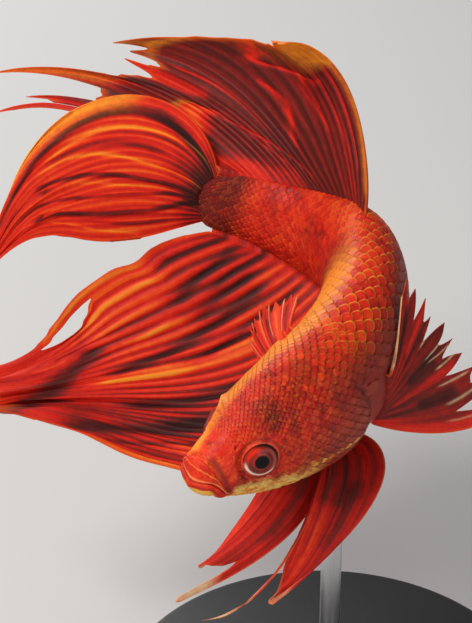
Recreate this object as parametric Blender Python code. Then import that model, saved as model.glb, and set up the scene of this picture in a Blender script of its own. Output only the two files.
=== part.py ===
"""A betta fish, life size, turning hard to its right, held on a plain display stand.

Metres, +Z up.  The origin is the middle of the stand's underside, on the axis of its rod.
The body is described straight, by stations in millimetres from the snout, and is carried
along a bent spine.  Each fin is a sheet spread between a few long fin rays.
"""
import math

import bmesh
import bpy
import numpy as np
from mathutils import Matrix, Vector

MM = 0.001
GAP = 0.3                 # clearance between neighbouring pieces

# Body ---------------------------------------------------------------------------------
BODY_LENGTH = 55.0        # snout to the end of the tail stock
SNOUT = (-13.0, -18.5, 39.0)
SPINE_STEP = 0.25
RING_SIDES = 24
RING_SPACING = 1.3
BACK_ROUNDNESS = 2.1      # superellipse exponents of the cross section
BELLY_ROUNDNESS = 1.8

# station, heading of the spine towards the tail, climb of the spine (degrees)
SPINE = (
    (0.0, 50, 5), (10.0, 45, 6), (20.0, 62, 12), (30.0, 85, 12), (40.0, 120, 1), (48.0, 155, 10),
    (55.0, 180, 18),
)
# station, roll of the back towards the fish's left (degrees)
ROLL = ((0.0, 15), (20.0, 15), (35.0, 0), (55.0, -5))
# station, height above the spine, depth below it, half width
PROFILE = (
    (0.0, 0.4, 0.4, 0.4), (0.4, 1.3, 1.1, 1.4), (1.2, 2.2, 1.8, 2.0), (3.0, 3.6, 3.2, 2.5),
    (6.0, 5.3, 4.5, 3.8), (10.0, 6.8, 6.0, 4.7), (15.0, 7.5, 7.4, 5.2), (20.0, 7.9, 8.0, 5.0),
    (27.0, 7.9, 7.8, 4.4), (34.0, 6.9, 6.6, 3.9), (41.0, 5.3, 5.1, 3.1), (47.0, 4.2, 4.0, 2.4),
    (51.0, 3.6, 3.5, 1.9), (55.0, 3.3, 3.3, 1.3),
)
# piece of the body, first station, last station
BODY_PIECES = (
    ("trunk_front", 17.5, 28.0), ("trunk_rear", 28.0, 41.0), ("tail_stock", 41.0, BODY_LENGTH),
)
HEAD_END = 17.5

# Head ---------------------------------------------------------------------------------
EYE_STATION = 5.2
EYE_RADIUS = 1.75
EYE_SIDES = 16
EYE_DEPTH = 1.1           # the eyeball's middle lies this far inside the cheek
EYE_OUT = 0.86            # share of the half width at which the cheek meets the eye
EYE_RISE = 0.36           # share of the height of the back
MOUTH_FRONT = (-1.0, 1.15)    # station and height of the mouth's line before the snout
MOUTH_CORNER = (2.9, -0.9)
JAW_HINGE = (4.7, -6.0)       # foot of the lower jaw's rear edge
JAW_HALF_WIDTH = 7.0
GILL_MIDDLE = -8.0        # angle round the body of the gill cover's middle (degrees)
GILL_SPAN = 44.0          # half of its angle
GILL_FRONT = 10.4
GILL_REAR = 16.8
GILL_ROUNDING = 2.4       # how far the cover's ends draw in above and below
GILL_THICKNESS = 1.1
GILL_PROUD = 0.12
GILL_COLUMNS = 5
GILL_ROWS = 8

# Fins ---------------------------------------------------------------------------------
FIN_THICKNESS = 0.55
RAY_STEPS = 40
TAIL_END = BODY_LENGTH + GAP

# Each row is one guide ray: station and angle round the body of its root, its length,
# its heading at root, middle and tip, and its climb at root, middle and tip.
DORSAL_RAYS = (
    (34.0, 90, 23.0, 80, 140, 260, 30, 60, -25),
    (37.5, 90, 21.0, 110, 130, 195, 50, 45, 20),
    (42.0, 90, 29.0, 130, 140, 185, 35, 25, -5),
    (46.0, 90, 24.0, 135, 145, 170, 40, 20, 20),
    (51.0, 90, 32.0, 130, 155, 185, 25, 15, -10),
    (54.4, 90, 26.5, 110, 165, 190, 25, 10, -20),
)
ANAL_RAYS = (
    (25.5, -90, 42.0, 225, 165, 220, -70, 10, 20),
    (34.0, -90, 44.0, 225, 165, 220, -65, 0, -10),
    (43.0, -90, 40.0, 205, 185, 210, -40, -10, -10),
    (52.8, -90, 32.5, 195, 195, 190, -10, -35, 10),
)
# The tail fin's second number is the height of the root on the end of the tail stock.
CAUDAL_RAYS = (
    (TAIL_END, 2.9, 43.0, 120, 215, 275, 75, -30, -50),
    (TAIL_END, 1.0, 37.0, 155, 215, 260, 55, -25, -50),
    (TAIL_END, -1.0, 35.0, 180, 215, 245, 35, -20, -50),
    (TAIL_END, -2.9, 33.0, 210, 210, 245, -10, 0, -70),
)
PECTORAL_LEFT_RAYS = (
    (19.4, 22, 10.0, 60, 65, 75, 40, 55, 60),
    (19.3, 0, 9.0, 35, 45, 50, 40, 25, 25),
    (19.1, -24, 12.5, 5, 20, 30, -20, -10, 15),
)
PECTORAL_RIGHT_RAYS = (
    (19.4, 158, 8.0, 90, 80, 75, -25, 0, 10),
    (19.3, 180, 9.0, 110, 100, 90, -20, 5, 15),
    (19.1, 204, 7.5, 115, 115, 115, -15, 5, 20),
)
PELVIC_LEFT_RAYS = (
    (17.8, -76, 20.5, 270, 220, 180, -10, -45, -5),
    (18.3, -75, 16.0, 275, 235, 210, 5, -50, -45),
    (19.2, -73, 19.0, 315, 225, 200, 5, -50, -20),
    (20.4, -70, 23.0, 370, 220, 215, 10, -40, -20),
)
PELVIC_RIGHT_RAYS = (
    (17.4, -104, 15.0, 220, 230, 210, -20, -35, -35),
    (18.3, -105, 17.0, 265, 225, 190, -20, -30, -25),
    (19.4, -107, 22.5, 300, 215, 195, -30, -30, -20),
)
# The margin of each fin: place across the fin, and the share of the ray that is filled.
DORSAL_MARGIN = (
    (0, 1), (0.2, 1), (0.25, 0.84), (0.3, 0.84), (0.4, 1), (0.5, 0.86), (0.55, 0.88),
    (0.6, 1), (0.7, 0.76), (0.75, 0.66), (0.8, 1), (0.85, 0.6), (0.95, 0.64), (1, 1),
)
ANAL_MARGIN = (
    (0, 1), (0.1, 0.93), (0.2, 1), (0.3, 0.92), (0.45, 1), (0.5, 0.92), (0.6, 1),
    (0.7, 0.92), (0.8, 1), (0.9, 0.92), (1, 0.97),
)
CAUDAL_MARGIN = (
    (0, 0.94), (0.1, 1), (0.2, 0.93), (0.3, 1), (0.4, 0.93), (0.5, 1), (0.6, 0.92),
    (0.7, 1), (0.85, 0.92), (1, 0.96),
)
PECTORAL_MARGIN = (
    (0, 1), (1 / 14, 0.87), (3 / 14, 1), (4 / 14, 0.88), (6 / 14, 1), (8 / 14, 0.87),
    (10 / 14, 1), (11 / 14, 0.88), (13 / 14, 1), (1, 0.9),
)
PELVIC_LEFT_MARGIN = ((0, 1), (2 / 14, 0.98), (4 / 14, 0.62), (6 / 14, 0.97), (1, 1))
PELVIC_RIGHT_MARGIN = ((0, 1), (4 / 14, 0.97), (9 / 14, 0.78), (11 / 14, 0.8), (13 / 14, 1), (1, 1))

# Stand --------------------------------------------------------------------------------
BASE_RADIUS = 21.0
BASE_THICKNESS = 3.5
BASE_CHAMFER = 0.8
BASE_SIDES = 40
BOSS_RADIUS = 4.0
BOSS_TOP_RADIUS = 2.6
BOSS_HEIGHT = 2.5
ROD_RADIUS = 1.0
ROD_SIDES = 20
ROD_FOOT = 1.3
SOCKET_DEPTH = 3.0        # how far the rod reaches into the belly
ROD_STATION = 22.5


def through(keys, values, where):
    """Smooth curve through the given values, read at one or more places."""
    keys = np.asarray(keys, float)
    values = np.asarray(values, float)
    slopes = np.gradient(values, keys)
    i = np.clip(np.searchsorted(keys, where) - 1, 0, len(keys) - 2)
    span = keys[i + 1] - keys[i]
    t = (where - keys[i]) / span
    start = (1 + 2 * t) * (1 - t) ** 2 * values[i] + t * (1 - t) ** 2 * span * slopes[i]
    end = t * t * (3 - 2 * t) * values[i + 1] - t * t * (1 - t) * span * slopes[i + 1]
    return start + end


def directions(heading, climb):
    """Unit vectors of the given headings and climbs in degrees."""
    heading = np.radians(heading)
    climb = np.radians(climb)
    flat = np.cos(climb)
    return np.stack([flat * np.cos(heading), flat * np.sin(heading), np.sin(climb)], -1)


def walk(start, steps, step_length):
    """Points reached by following the given directions from a start point."""
    points = np.zeros_like(steps)
    points[1:] = np.cumsum((steps[1:] + steps[:-1]) / 2 * step_length, 0)
    return points + np.asarray(start, float)


def build_spine():
    """Middle line of the body with its tailward, upward and leftward directions."""
    stations = np.arange(0, BODY_LENGTH + 1 + SPINE_STEP, SPINE_STEP)
    keys = [row[0] for row in SPINE]
    heading = through(keys, [row[1] for row in SPINE], stations)
    climb = through(keys, [row[2] for row in SPINE], stations)
    roll = np.radians(through([row[0] for row in ROLL], [row[1] for row in ROLL], stations))
    tail = directions(heading, climb)
    upright = np.array([0.0, 0.0, 1.0]) - tail * tail[:, 2:3]
    upright /= np.linalg.norm(upright, axis=1, keepdims=True)
    side = np.cross(tail, upright)
    up = upright * np.cos(roll)[:, None] + side * np.sin(roll)[:, None]
    left = side * np.cos(roll)[:, None] - upright * np.sin(roll)[:, None]
    return stations, walk(SNOUT, tail, SPINE_STEP), tail, up, left


STATIONS, MIDDLE, TAILWARD, UPWARD, LEFTWARD = build_spine()


def frame_at(station):
    """Middle, tailward, upward and leftward vectors at one station, in millimetres."""
    return [
        np.array([np.interp(station, STATIONS, line[:, k]) for k in range(3)])
        for line in (MIDDLE, TAILWARD, UPWARD, LEFTWARD)
    ]


def section_at(station):
    """Height above the spine, depth below it and half width at one station."""
    keys = [row[0] for row in PROFILE]
    return [float(through(keys, [row[k] for row in PROFILE], station)) for k in (1, 2, 3)]


def section_point(station, across, height):
    """Point in the cross section: across to the fish's left, height towards its back."""
    middle, _, up, left = frame_at(station)
    return middle + across * left + height * up


def rim(station, angle):
    """Offsets across and up of the skin at an angle: 0 is left, 90 is the back."""
    above, below, half_width = section_at(station)
    c = math.cos(math.radians(angle))
    s = math.sin(math.radians(angle))
    power = 2 / (BACK_ROUNDNESS if s > 0 else BELLY_ROUNDNESS)
    reach = above if s > 0 else below
    across = half_width * math.copysign(abs(c) ** power, c)
    height = reach * math.copysign(abs(s) ** power, s)
    return across, height, half_width, reach


def skin_point(station, angle, lift=0.0):
    """Point on the body's surface, or lifted off it along its normal."""
    across, height, half_width, reach = rim(station, angle)
    out = np.array([across / half_width ** 2, height / reach ** 2])
    out *= lift / np.linalg.norm(out)
    return section_point(station, across + out[0], height + out[1])


def place(point):
    """A point in millimetres as a Blender vector in metres."""
    return Vector(point) * MM


def finish(name, bm, colour, roughness=0.5, metallic=0.0, smooth=60):
    """Make the named object with a Principled material from the mesh that was built."""
    bmesh.ops.recalc_face_normals(bm, faces=bm.faces)
    mesh = bpy.data.meshes.new(name)
    bm.to_mesh(mesh)
    bm.free()
    mesh.shade_smooth()
    mesh.set_sharp_from_angle(angle=math.radians(smooth))
    obj = bpy.data.objects.new(name, mesh)
    bpy.context.collection.objects.link(obj)
    material = bpy.data.materials.new(name)
    material.use_nodes = True
    shader = material.node_tree.nodes["Principled BSDF"]
    shader.inputs["Base Color"].default_value = (*colour, 1.0)
    shader.inputs["Roughness"].default_value = roughness
    shader.inputs["Metallic"].default_value = metallic
    mesh.materials.append(material)
    return obj


def make_guide(name, bm):
    """A hidden cutting body."""
    guide = finish(name, bm, (0.5, 0.5, 0.5))
    guide.hide_render = True
    guide.display_type = 'WIRE'
    return guide


def boolean(obj, guide, operation):
    """Cut the object by a guide, or keep what they share."""
    cut = obj.modifiers.new(guide.name, 'BOOLEAN')
    cut.operation = operation
    cut.object = guide
    cut.solver = 'EXACT'


def body_stations(first, last):
    """Stations of the rings of one piece, evenly spaced."""
    count = max(2, round((last - first) / RING_SPACING))
    return np.linspace(first, last, count + 1)


def loft(stations):
    """Solid carried from ring to ring along the spine, closed at both ends."""
    bm = bmesh.new()
    bmesh.ops.create_circle(bm, segments=RING_SIDES, radius=1.0, cap_ends=True)
    bm.faces.ensure_lookup_table()
    cap = bm.faces[0]
    for number, station in enumerate(stations):
        if number:
            cap = bmesh.ops.extrude_discrete_faces(bm, faces=[cap])["faces"][0]
        if number == 1:
            bmesh.ops.contextual_create(bm, geom=[e for e in bm.edges if e.is_boundary])
        for corner, loop in enumerate(cap.loops):
            loop.vert.co = place(skin_point(station, 360 * corner / RING_SIDES))
    return bm


def make_body():
    """Trunk and tail stock, each its own solid."""
    for name, first, last in BODY_PIECES:
        end = last if last == BODY_LENGTH else last - GAP / 2
        piece = finish(name, loft(body_stations(first + GAP / 2, end)), (0.62, 0.06, 0.03))
        if first < ROD_STATION < last:
            boolean(piece, make_rod_socket(), 'DIFFERENCE')


def belly_height():
    """Height in millimetres at which the rod meets the belly."""
    return skin_point(ROD_STATION, -90)[2]


def make_rod_socket():
    """Hole in the belly that takes the top of the rod."""
    bm = bmesh.new()
    top = belly_height() + SOCKET_DEPTH + GAP
    length = SOCKET_DEPTH * 2 + GAP
    bmesh.ops.create_cone(
        bm, cap_ends=True, segments=ROD_SIDES, depth=length * MM,
        radius1=(ROD_RADIUS + GAP) * MM, radius2=(ROD_RADIUS + GAP) * MM,
        matrix=Matrix.Translation(place((0, 0, top - length / 2))),
    )
    return make_guide("guide_rod_socket", bm)


def eye_centre(side):
    """Middle of an eyeball: side is 1 for the fish's left and -1 for its right."""
    above, _, half_width = section_at(EYE_STATION)
    return section_point(EYE_STATION, side * (half_width * EYE_OUT - EYE_DEPTH), above * EYE_RISE)


def ball(centre, radius, sides):
    """Round body at a point in millimetres."""
    bm = bmesh.new()
    bmesh.ops.create_uvsphere(
        bm, u_segments=sides, v_segments=sides // 2, radius=radius * MM,
        matrix=Matrix.Translation(place(centre)),
    )
    return bm


def jaw_block(clearance):
    """Wedge that holds the lower jaw, grown by a clearance along the mouth and hinge."""
    middle, tail, up, left = frame_at(0.0)
    outline = [
        (MOUTH_FRONT[0], MOUTH_FRONT[1] + clearance),
        (MOUTH_CORNER[0] + clearance / 2, MOUTH_CORNER[1] + clearance),
        (JAW_HINGE[0] + clearance, JAW_HINGE[1]),
        (MOUTH_FRONT[0], JAW_HINGE[1]),
    ]
    bm = bmesh.new()
    start = middle - left * JAW_HALF_WIDTH
    corners = [bm.verts.new(place(start + tail * s + up * h)) for s, h in outline]
    side = bm.faces.new(corners)
    grown = bmesh.ops.extrude_face_region(bm, geom=[side])["geom"]
    moved = [item for item in grown if isinstance(item, bmesh.types.BMVert)]
    bmesh.ops.translate(bm, verts=moved, vec=place(left * JAW_HALF_WIDTH * 2))
    return bm


def gill_patch(side, clearance, lift, thickness):
    """Rounded plate that follows the cheek, from a lift above the skin inwards."""
    bm = bmesh.new()
    bmesh.ops.create_grid(bm, x_segments=GILL_COLUMNS, y_segments=GILL_ROWS, size=1.0)
    for vert in bm.verts:
        along = (vert.co.x + 1) / 2
        bend = vert.co.y
        front = GILL_FRONT - clearance + GILL_ROUNDING * bend ** 4
        rear = GILL_REAR + clearance - GILL_ROUNDING * bend ** 2
        turn = bend * (GILL_SPAN + math.degrees(clearance / section_at(GILL_FRONT)[2]))
        angle = GILL_MIDDLE + turn
        vert.co = place(skin_point(front + (rear - front) * along,
                                   angle if side > 0 else 180 - angle, lift))
    bmesh.ops.recalc_face_normals(bm, faces=bm.faces)
    middle = frame_at((GILL_FRONT + GILL_REAR) / 2)[3] * side
    if sum((face.normal.dot(Vector(middle)) for face in bm.faces)) < 0:
        bmesh.ops.reverse_faces(bm, faces=bm.faces)
    bmesh.ops.solidify(bm, geom=bm.faces, thickness=thickness * MM)
    return bm


def make_head():
    """Head with its lower jaw, gill covers and eyes as pieces of their own."""
    stations = np.concatenate([[0.0, 0.4], np.linspace(1.2, HEAD_END - GAP / 2, 14)])
    head = finish("head", loft(stations), (0.66, 0.08, 0.03))
    boolean(head, make_guide("guide_jaw_room", jaw_block(GAP)), 'DIFFERENCE')
    jaw = finish("jaw_lower", loft(np.linspace(0.0, 6.0, 9)), (0.72, 0.2, 0.04))
    boolean(jaw, make_guide("guide_jaw", jaw_block(0.0)), 'INTERSECT')
    for side, word in ((1, "left"), (-1, "right")):
        socket = make_guide("guide_orbit_" + word, ball(eye_centre(side), EYE_RADIUS + GAP, EYE_SIDES))
        boolean(head, socket, 'DIFFERENCE')
        room = gill_patch(side, GAP, 2 * GAP, GILL_THICKNESS + 3 * GAP)
        boolean(head, make_guide("guide_gill_room_" + word, room), 'DIFFERENCE')
        cover = gill_patch(side, 0.0, GILL_PROUD, GILL_THICKNESS)
        finish("gill_cover_" + word, cover, (0.6, 0.07, 0.03))
        finish("eye_" + word, ball(eye_centre(side), EYE_RADIUS, EYE_SIDES), (0.02, 0.015, 0.02), 0.15)


def guide_ray(row, root):
    """Points of one fin ray from its root to its tip."""
    length, heading, climb = row[2], row[3:6], row[6:9]
    t = np.linspace(0, 1, RAY_STEPS + 1)
    first, second, third = (1 - t) * (1 - 2 * t), 4 * t * (1 - t), t * (2 * t - 1)
    turn = heading[0] * first + heading[1] * second + heading[2] * third
    rise = climb[0] * first + climb[1] * second + climb[2] * third
    return walk(root, directions(turn, rise), length / RAY_STEPS)


def make_fin(name, rays, margin, across, along, root_of, colour):
    """Sheet spread between the guide rays, cut to its margin and given its thickness."""
    rays = np.array(rays, float)
    roots = np.array([root_of(row[0], row[1]) for row in rays])
    places = np.linspace(0, 1, len(rays))
    lines = []
    for line in range(across + 1):
        v = line / across
        row = [through(places, rays[:, k], v) for k in range(rays.shape[1])]
        root = np.array([through(places, roots[:, k], v) for k in range(3)])
        fill = np.interp(v, [key[0] for key in margin], [key[1] for key in margin])
        points = guide_ray(row, root)
        wanted = np.minimum(np.linspace(0, RAY_STEPS, along + 1), fill * RAY_STEPS)
        steps = np.arange(RAY_STEPS + 1)
        lines.append([[np.interp(w, steps, points[:, k]) for k in range(3)] for w in wanted])
    bm = bmesh.new()
    bmesh.ops.create_grid(bm, x_segments=along, y_segments=across, size=1.0)
    for vert in bm.verts:
        step = round((vert.co.x + 1) / 2 * along)
        line = round((vert.co.y + 1) / 2 * across)
        vert.co = place(lines[line][step])
    bmesh.ops.remove_doubles(bm, verts=bm.verts, dist=GAP * MM / 10)
    fin = finish(name, bm, colour, 0.4)
    wall = fin.modifiers.new("thickness", 'SOLIDIFY')
    wall.thickness = FIN_THICKNESS * MM
    wall.offset = 0.0
    return fin


def on_skin(station, angle):
    """Root of a ray just off the body's surface."""
    return skin_point(station, angle, GAP)


def on_tail_end(station, height):
    """Root of a tail ray just behind the end of the tail stock."""
    return section_point(station, 0.0, height)


def make_fins():
    """All the fins, the paired ones by side."""
    red = (0.7, 0.05, 0.02)
    make_fin("fin_dorsal", DORSAL_RAYS, DORSAL_MARGIN, 20, 10, on_skin, (0.4, 0.03, 0.02))
    make_fin("fin_anal", ANAL_RAYS, ANAL_MARGIN, 20, 11, on_skin, (0.55, 0.04, 0.02))
    make_fin("fin_caudal", CAUDAL_RAYS, CAUDAL_MARGIN, 20, 11, on_tail_end, red)
    make_fin("fin_pectoral_left", PECTORAL_LEFT_RAYS, PECTORAL_MARGIN, 14, 6, on_skin, red)
    make_fin("fin_pectoral_right", PECTORAL_RIGHT_RAYS, PECTORAL_MARGIN, 14, 6, on_skin, red)
    make_fin("fin_pelvic_left", PELVIC_LEFT_RAYS, PELVIC_LEFT_MARGIN, 14, 10, on_skin, red)
    make_fin("fin_pelvic_right", PELVIC_RIGHT_RAYS, PELVIC_RIGHT_MARGIN, 14, 10, on_skin, red)


def make_stand():
    """Round base with a low boss, and one rod up into the belly."""
    hole = ROD_RADIUS + GAP
    floor = ROD_FOOT - GAP
    outline = (
        (0, 0), (BASE_RADIUS, 0), (BASE_RADIUS, BASE_THICKNESS - BASE_CHAMFER),
        (BASE_RADIUS - BASE_CHAMFER, BASE_THICKNESS), (BOSS_RADIUS, BASE_THICKNESS),
        (BOSS_TOP_RADIUS, BASE_THICKNESS + BOSS_HEIGHT), (hole, BASE_THICKNESS + BOSS_HEIGHT),
        (hole, floor), (0, floor),
    )
    bm = bmesh.new()
    points = [bm.verts.new(place((r, 0, z))) for r, z in outline]
    edges = [bm.edges.new(pair) for pair in zip(points, points[1:])]
    bmesh.ops.spin(
        bm, geom=points + edges, axis=(0, 0, 1), cent=(0, 0, 0),
        angle=math.tau, steps=BASE_SIDES, use_merge=True,
    )
    bmesh.ops.remove_doubles(bm, verts=bm.verts, dist=GAP * MM / 100)
    finish("stand_base", bm, (0.015, 0.015, 0.017), 0.35, smooth=30)
    bm = bmesh.new()
    length = belly_height() + SOCKET_DEPTH - ROD_FOOT
    bmesh.ops.create_cone(
        bm, cap_ends=True, segments=ROD_SIDES, depth=length * MM,
        radius1=ROD_RADIUS * MM, radius2=ROD_RADIUS * MM,
        matrix=Matrix.Translation(place((0, 0, ROD_FOOT + length / 2))),
    )
    finish("stand_rod", bm, (0.6, 0.6, 0.62), 0.3, 1.0, smooth=30)


def main():
    """Clear the scene and build the fish and its stand."""
    for obj in list(bpy.data.objects):
        bpy.data.objects.remove(obj, do_unlink=True)
    make_head()
    make_body()
    make_fins()
    make_stand()


main()
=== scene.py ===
import math

import bmesh
import bpy
import numpy as np
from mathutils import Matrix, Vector


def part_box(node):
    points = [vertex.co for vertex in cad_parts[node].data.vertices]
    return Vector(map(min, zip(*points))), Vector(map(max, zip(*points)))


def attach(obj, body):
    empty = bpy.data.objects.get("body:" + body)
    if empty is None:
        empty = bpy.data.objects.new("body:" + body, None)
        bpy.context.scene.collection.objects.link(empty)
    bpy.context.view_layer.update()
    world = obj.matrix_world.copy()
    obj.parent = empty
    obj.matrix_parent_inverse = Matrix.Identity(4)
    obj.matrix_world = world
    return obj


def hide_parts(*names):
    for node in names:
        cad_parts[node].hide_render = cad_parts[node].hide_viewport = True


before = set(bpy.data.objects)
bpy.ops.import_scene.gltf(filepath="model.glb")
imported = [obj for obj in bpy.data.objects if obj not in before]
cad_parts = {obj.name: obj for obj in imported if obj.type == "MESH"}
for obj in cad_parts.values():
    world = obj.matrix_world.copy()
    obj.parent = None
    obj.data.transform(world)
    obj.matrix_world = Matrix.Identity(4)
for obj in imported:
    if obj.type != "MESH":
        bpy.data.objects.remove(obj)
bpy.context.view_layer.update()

mm = 0.001
sheetGap = 0.1     # between a sheet's two faces while it is still flat
farAway = 9.0      # mm, stands for out of reach
print("frame loaded")

# straight fish: stations in mm from the snout, carried along a bent spine
bodyShape = {
    "length": 55.0,
    "snout": (-13.0, -18.5, 39.0),
    "step": 0.25, "spare": 4.0,        # spine kept beyond the tail root
    "backRoundness": 2.1,
    "bellyRoundness": 1.8,
    # station, then heading and climb in degrees
    "spine": ((0, 50, 5), (10, 45, 6), (20, 62, 12), (30, 85, 12), (40, 120, 1), (48, 155, 10),
              (55, 180, 18)),
    "roll": ((0, 15), (20, 15), (35, 0), (55, -5)),
    # station, reach over and under the spine, half width
    "profile": ((-0.3, 0.02, 0.02, 0.02), (-0.2, 0.25, 0.22, 0.25), (0, 0.55, 0.5, 0.55),
                (0.4, 1.3, 1.1, 1.4), (1.2, 2.2, 1.8, 2.0), (3, 3.6, 3.2, 2.5),
                (6, 5.3, 4.5, 3.8), (10, 6.8, 6.0, 4.7), (15, 7.5, 7.4, 5.2),
                (20, 7.9, 8.0, 5.0), (27, 7.9, 7.8, 4.4), (34, 6.9, 6.6, 3.9),
                (41, 5.3, 5.1, 3.1), (47, 4.2, 4.0, 2.4), (51, 3.6, 3.5, 1.8),
                (54, 3.35, 3.3, 1.1), (55.6, 3.3, 3.25, 0.45), (56.4, 3.2, 3.2, 0.16),
                (56.6, 3.15, 3.15, 0.02)),
}

palette = {
    "red": (0.58, 0.014, 0.008),
    "brightRed": (0.8, 0.03, 0.009),
    "orange": (0.92, 0.13, 0.012),
    "amber": (0.95, 0.29, 0.022),
    "gold": (0.92, 0.5, 0.07),
    "cream": (0.88, 0.66, 0.36),
    "rose": (0.42, 0.045, 0.032),
    "wine": (0.24, 0.014, 0.01),
    "maroon": (0.095, 0.012, 0.01),
    "umber": (0.03, 0.008, 0.008),
    "coral": (0.72, 0.085, 0.045),
    "scarlet": (0.8, 0.022, 0.01),
    "freckle": (0.95, 0.3, 0.04),
    "chinYellow": (1.0, 0.74, 0.2),
    "lipLine": (0.95, 0.28, 0.08),
    "eyelid": (0.62, 0.13, 0.08),
    "irisRose": (0.46, 0.09, 0.07),
    "irisDusk": (0.06, 0.028, 0.026),
    "irisPale": (0.88, 0.72, 0.56),
    "irisRing": (0.3, 0.06, 0.03),
    "pupilBlack": (0.002, 0.001, 0.002),
    "finGold": (1.0, 0.37, 0.03),
}


def through(keys, values, where):
    # a smooth curve through the values at the keys
    keys, values = np.asarray(keys, float), np.asarray(values, float)
    slopes = np.gradient(values, keys)
    i = np.clip(np.searchsorted(keys, where) - 1, 0, len(keys) - 2)
    span = keys[i + 1] - keys[i]
    t = (where - keys[i]) / span
    start = (1 + 2 * t) * (1 - t) ** 2 * values[i] + t * (1 - t) ** 2 * span * slopes[i]
    return start + t * t * (3 - 2 * t) * values[i + 1] - t * t * (1 - t) * span * slopes[i + 1]


def smooth(low, high, value):
    t = np.clip((value - low) / (high - low), 0, 1)
    return t * t * (3 - 2 * t)


def bump(value, middle, width):
    # 1 at the middle, falling softly to 0 about two widths away
    return np.exp(-((value - middle) / width) ** 2)


def unit(vectors):
    return vectors / (np.linalg.norm(vectors, axis=-1, keepdims=True) + 1e-12)


def directions(heading, climb):
    heading, climb = np.radians(heading), np.radians(climb)
    flat = np.cos(climb)
    return np.stack([flat * np.cos(heading), flat * np.sin(heading), np.sin(climb)], -1)


def buildSpine(shape):
    stations = np.arange(0, shape["length"] + shape["spare"] + shape["step"], shape["step"])
    keys, heading, climb = zip(*shape["spine"])
    tail = directions(through(keys, heading, stations), through(keys, climb, stations))
    middle = np.zeros_like(tail)
    middle[1:] = np.cumsum((tail[1:] + tail[:-1]) / 2 * shape["step"], 0)
    middle += np.array(shape["snout"])
    upright = unit(np.array([0.0, 0.0, 1.0]) - tail * tail[:, 2:3])
    side = np.cross(tail, upright)
    keys, roll = zip(*shape["roll"])
    roll = np.radians(through(keys, roll, stations))[:, None]
    up = upright * np.cos(roll) + side * np.sin(roll)
    return stations, middle, tail, up, side * np.cos(roll) - upright * np.sin(roll)


spineLine = buildSpine(bodyShape)


def frameAt(stations):
    # middle of the body and its tailward, upward and leftward ways
    stations = np.asarray(stations, float)
    middle, tail, up, left = [
        np.stack([np.interp(stations, spineLine[0], line[:, k]) for k in range(3)], -1)
        for line in spineLine[1:]]
    before = np.minimum(stations, 0)[..., None]      # straight on ahead of the snout
    return middle + before * tail, tail, up, left


def sectionAt(stations):
    keys = [row[0] for row in bodyShape["profile"]]
    return [through(keys, [row[k] for row in bodyShape["profile"]], stations) for k in (1, 2, 3)]


def rimAt(stations, angles):
    # leftward and upward place on the section's outline, and the way out of it
    above, below, halfWidth = sectionAt(stations)
    c, s = np.cos(np.radians(angles)), np.sin(np.radians(angles))
    power = 2 / np.where(s > 0, bodyShape["backRoundness"], bodyShape["bellyRoundness"])
    reach = np.where(s > 0, above, below)
    across = halfWidth * np.sign(c) * np.abs(c) ** power
    height = reach * np.sign(s) * np.abs(s) ** power
    return across, height, unit(np.stack([across / halfWidth ** 2, height / reach ** 2], -1))


def skinPoints(stations, angles, lift=0.0):
    across, height, out = rimAt(stations, angles)
    middle, _, up, left = frameAt(stations)
    across = across + out[..., 0] * lift
    height = height + out[..., 1] * lift
    return middle + across[..., None] * left + height[..., None] * up


def buildAngleTable(shape, shares=240, circle=721):
    # even steps round the body, from the middle of the back over the left side
    stations = np.arange(0, shape["length"] + 3, 0.5)
    angles = 90 - np.linspace(0, 360, circle)
    table = []
    for station in stations:
        across, height, _ = rimAt(np.full(circle, station), angles)
        steps = np.hypot(np.diff(across), np.diff(height))
        length = np.concatenate([[0], np.cumsum(steps)])
        table.append(np.interp(np.linspace(0, 1, shares + 1), length / length[-1], angles))
    return stations, np.array(table)


angleTable = buildAngleTable(bodyShape)


def angleOf(stations, shares):
    # the angle at a share of the way round
    rows, table = angleTable
    turns = np.floor(shares)
    i = np.clip(stations / (rows[1] - rows[0]), 0, len(rows) - 1.001)
    j = (shares - turns) * (table.shape[1] - 1)
    i0, j0 = i.astype(int), np.minimum(j.astype(int), table.shape[1] - 2)
    fi, fj = i - i0, j - j0
    near = table[i0, j0] * (1 - fj) + table[i0, j0 + 1] * fj
    far = table[i0 + 1, j0] * (1 - fj) + table[i0 + 1, j0 + 1] * fj
    return near * (1 - fi) + far * fi - 360 * turns


def perimeterAt(station):
    # length round the section
    across, height, _ = rimAt(np.full(181, float(station)), np.linspace(0, 360, 181))
    return float(np.hypot(np.diff(across), np.diff(height)).sum())


# a socket of a material's nodes, with ordinary arithmetic
class Link:
    def __init__(self, finish, socket):
        self.finish, self.socket = finish, socket

    def __add__(self, other):
        return self.finish.math("ADD", self, other)

    def __sub__(self, other):
        return self.finish.math("SUBTRACT", self, other)

    def __mul__(self, other):
        return self.finish.math("MULTIPLY", self, other)

    def __truediv__(self, other):
        return self.finish.math("DIVIDE", self, other)

    def __radd__(self, other):
        return self.finish.math("ADD", other, self)

    def __rsub__(self, other):
        return self.finish.math("SUBTRACT", other, self)

    def __rmul__(self, other):
        return self.finish.math("MULTIPLY", other, self)

    def step(self, low, high):
        return self.finish.node("MapRange", {"interpolation_type": 'SMOOTHSTEP'},
                                {"Value": self, "From Min": low, "From Max": high})

    def near(self, middle, width):
        # 1 at the middle and 0 a width away
        return (1 - self.finish.math("ABSOLUTE", self - middle) / width).step(0, 1)


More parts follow.
